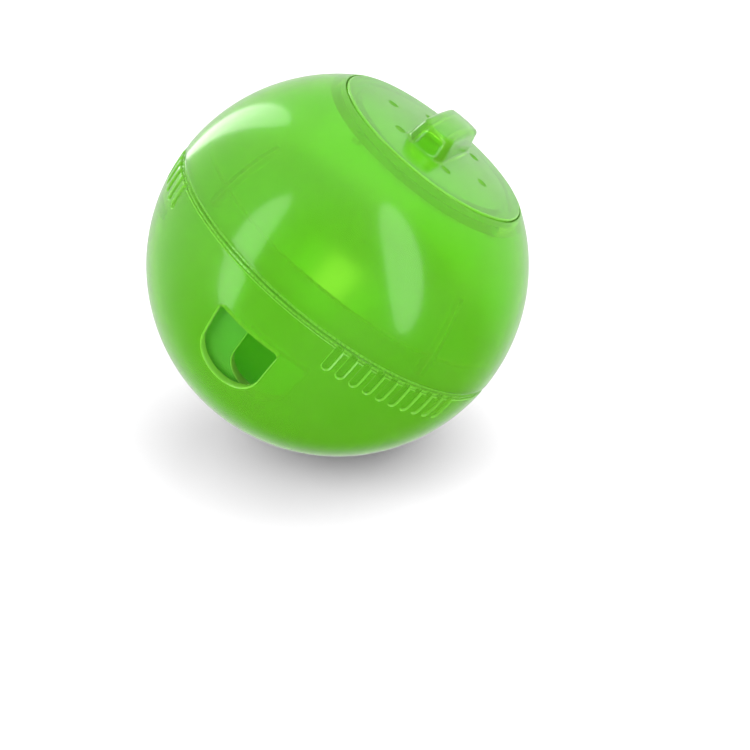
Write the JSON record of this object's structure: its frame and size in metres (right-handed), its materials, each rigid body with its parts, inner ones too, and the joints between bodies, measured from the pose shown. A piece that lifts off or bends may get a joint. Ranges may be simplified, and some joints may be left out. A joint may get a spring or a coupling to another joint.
{
  "type": "treat dispensing ball",
  "caption": "Hollow translucent ball for pets with a turning inner cup whose ports line up with the shell's to let dry food out, ribbed grip bands and a lift-off lid with a grip bar.",
  "frame": {"origin": "the centre of the closed ball", "axes": "+Z out through the middle of the lid, -Y out through the middle of one port of the lower shell, +X to the right when that port is looked at with the lid up"},
  "size_m": [0.076, 0.076, 0.076],
  "materials": {
    "shell_lower_plastic": "clear lime plastic, glossy and slightly milky",
    "shell_upper_plastic": "clear lime plastic, glossy and slightly milky",
    "cup_plastic": "clear lime plastic, smooth",
    "lid_plastic": "clear lime plastic, glossy and slightly milky"
  },
  "bodies": {
    "lower_shell": {"lower_shell": "shell_lower_plastic"},
    "cup": {"cup": "cup_plastic"},
    "upper_shell": {"upper_shell": "shell_upper_plastic"},
    "lid": {"lid": "lid_plastic"}
  },
  "joints": [
    {"name": "portion_turn", "type": "hinge", "parent": "lower_shell", "child": "cup", "pos_m": [0, 0, 0], "axis": [0, 0, 1], "range_deg": [-11, 17]},
    {"name": "upper_pull", "type": "slide", "parent": "cup", "child": "upper_shell", "axis": [0, 0, 1], "range_m": [0, 0.025]},
    {"name": "lid_lift", "type": "slide", "parent": "upper_shell", "child": "lid", "axis": [0, 0, 1], "range_m": [0, 0.025]}
  ]
}
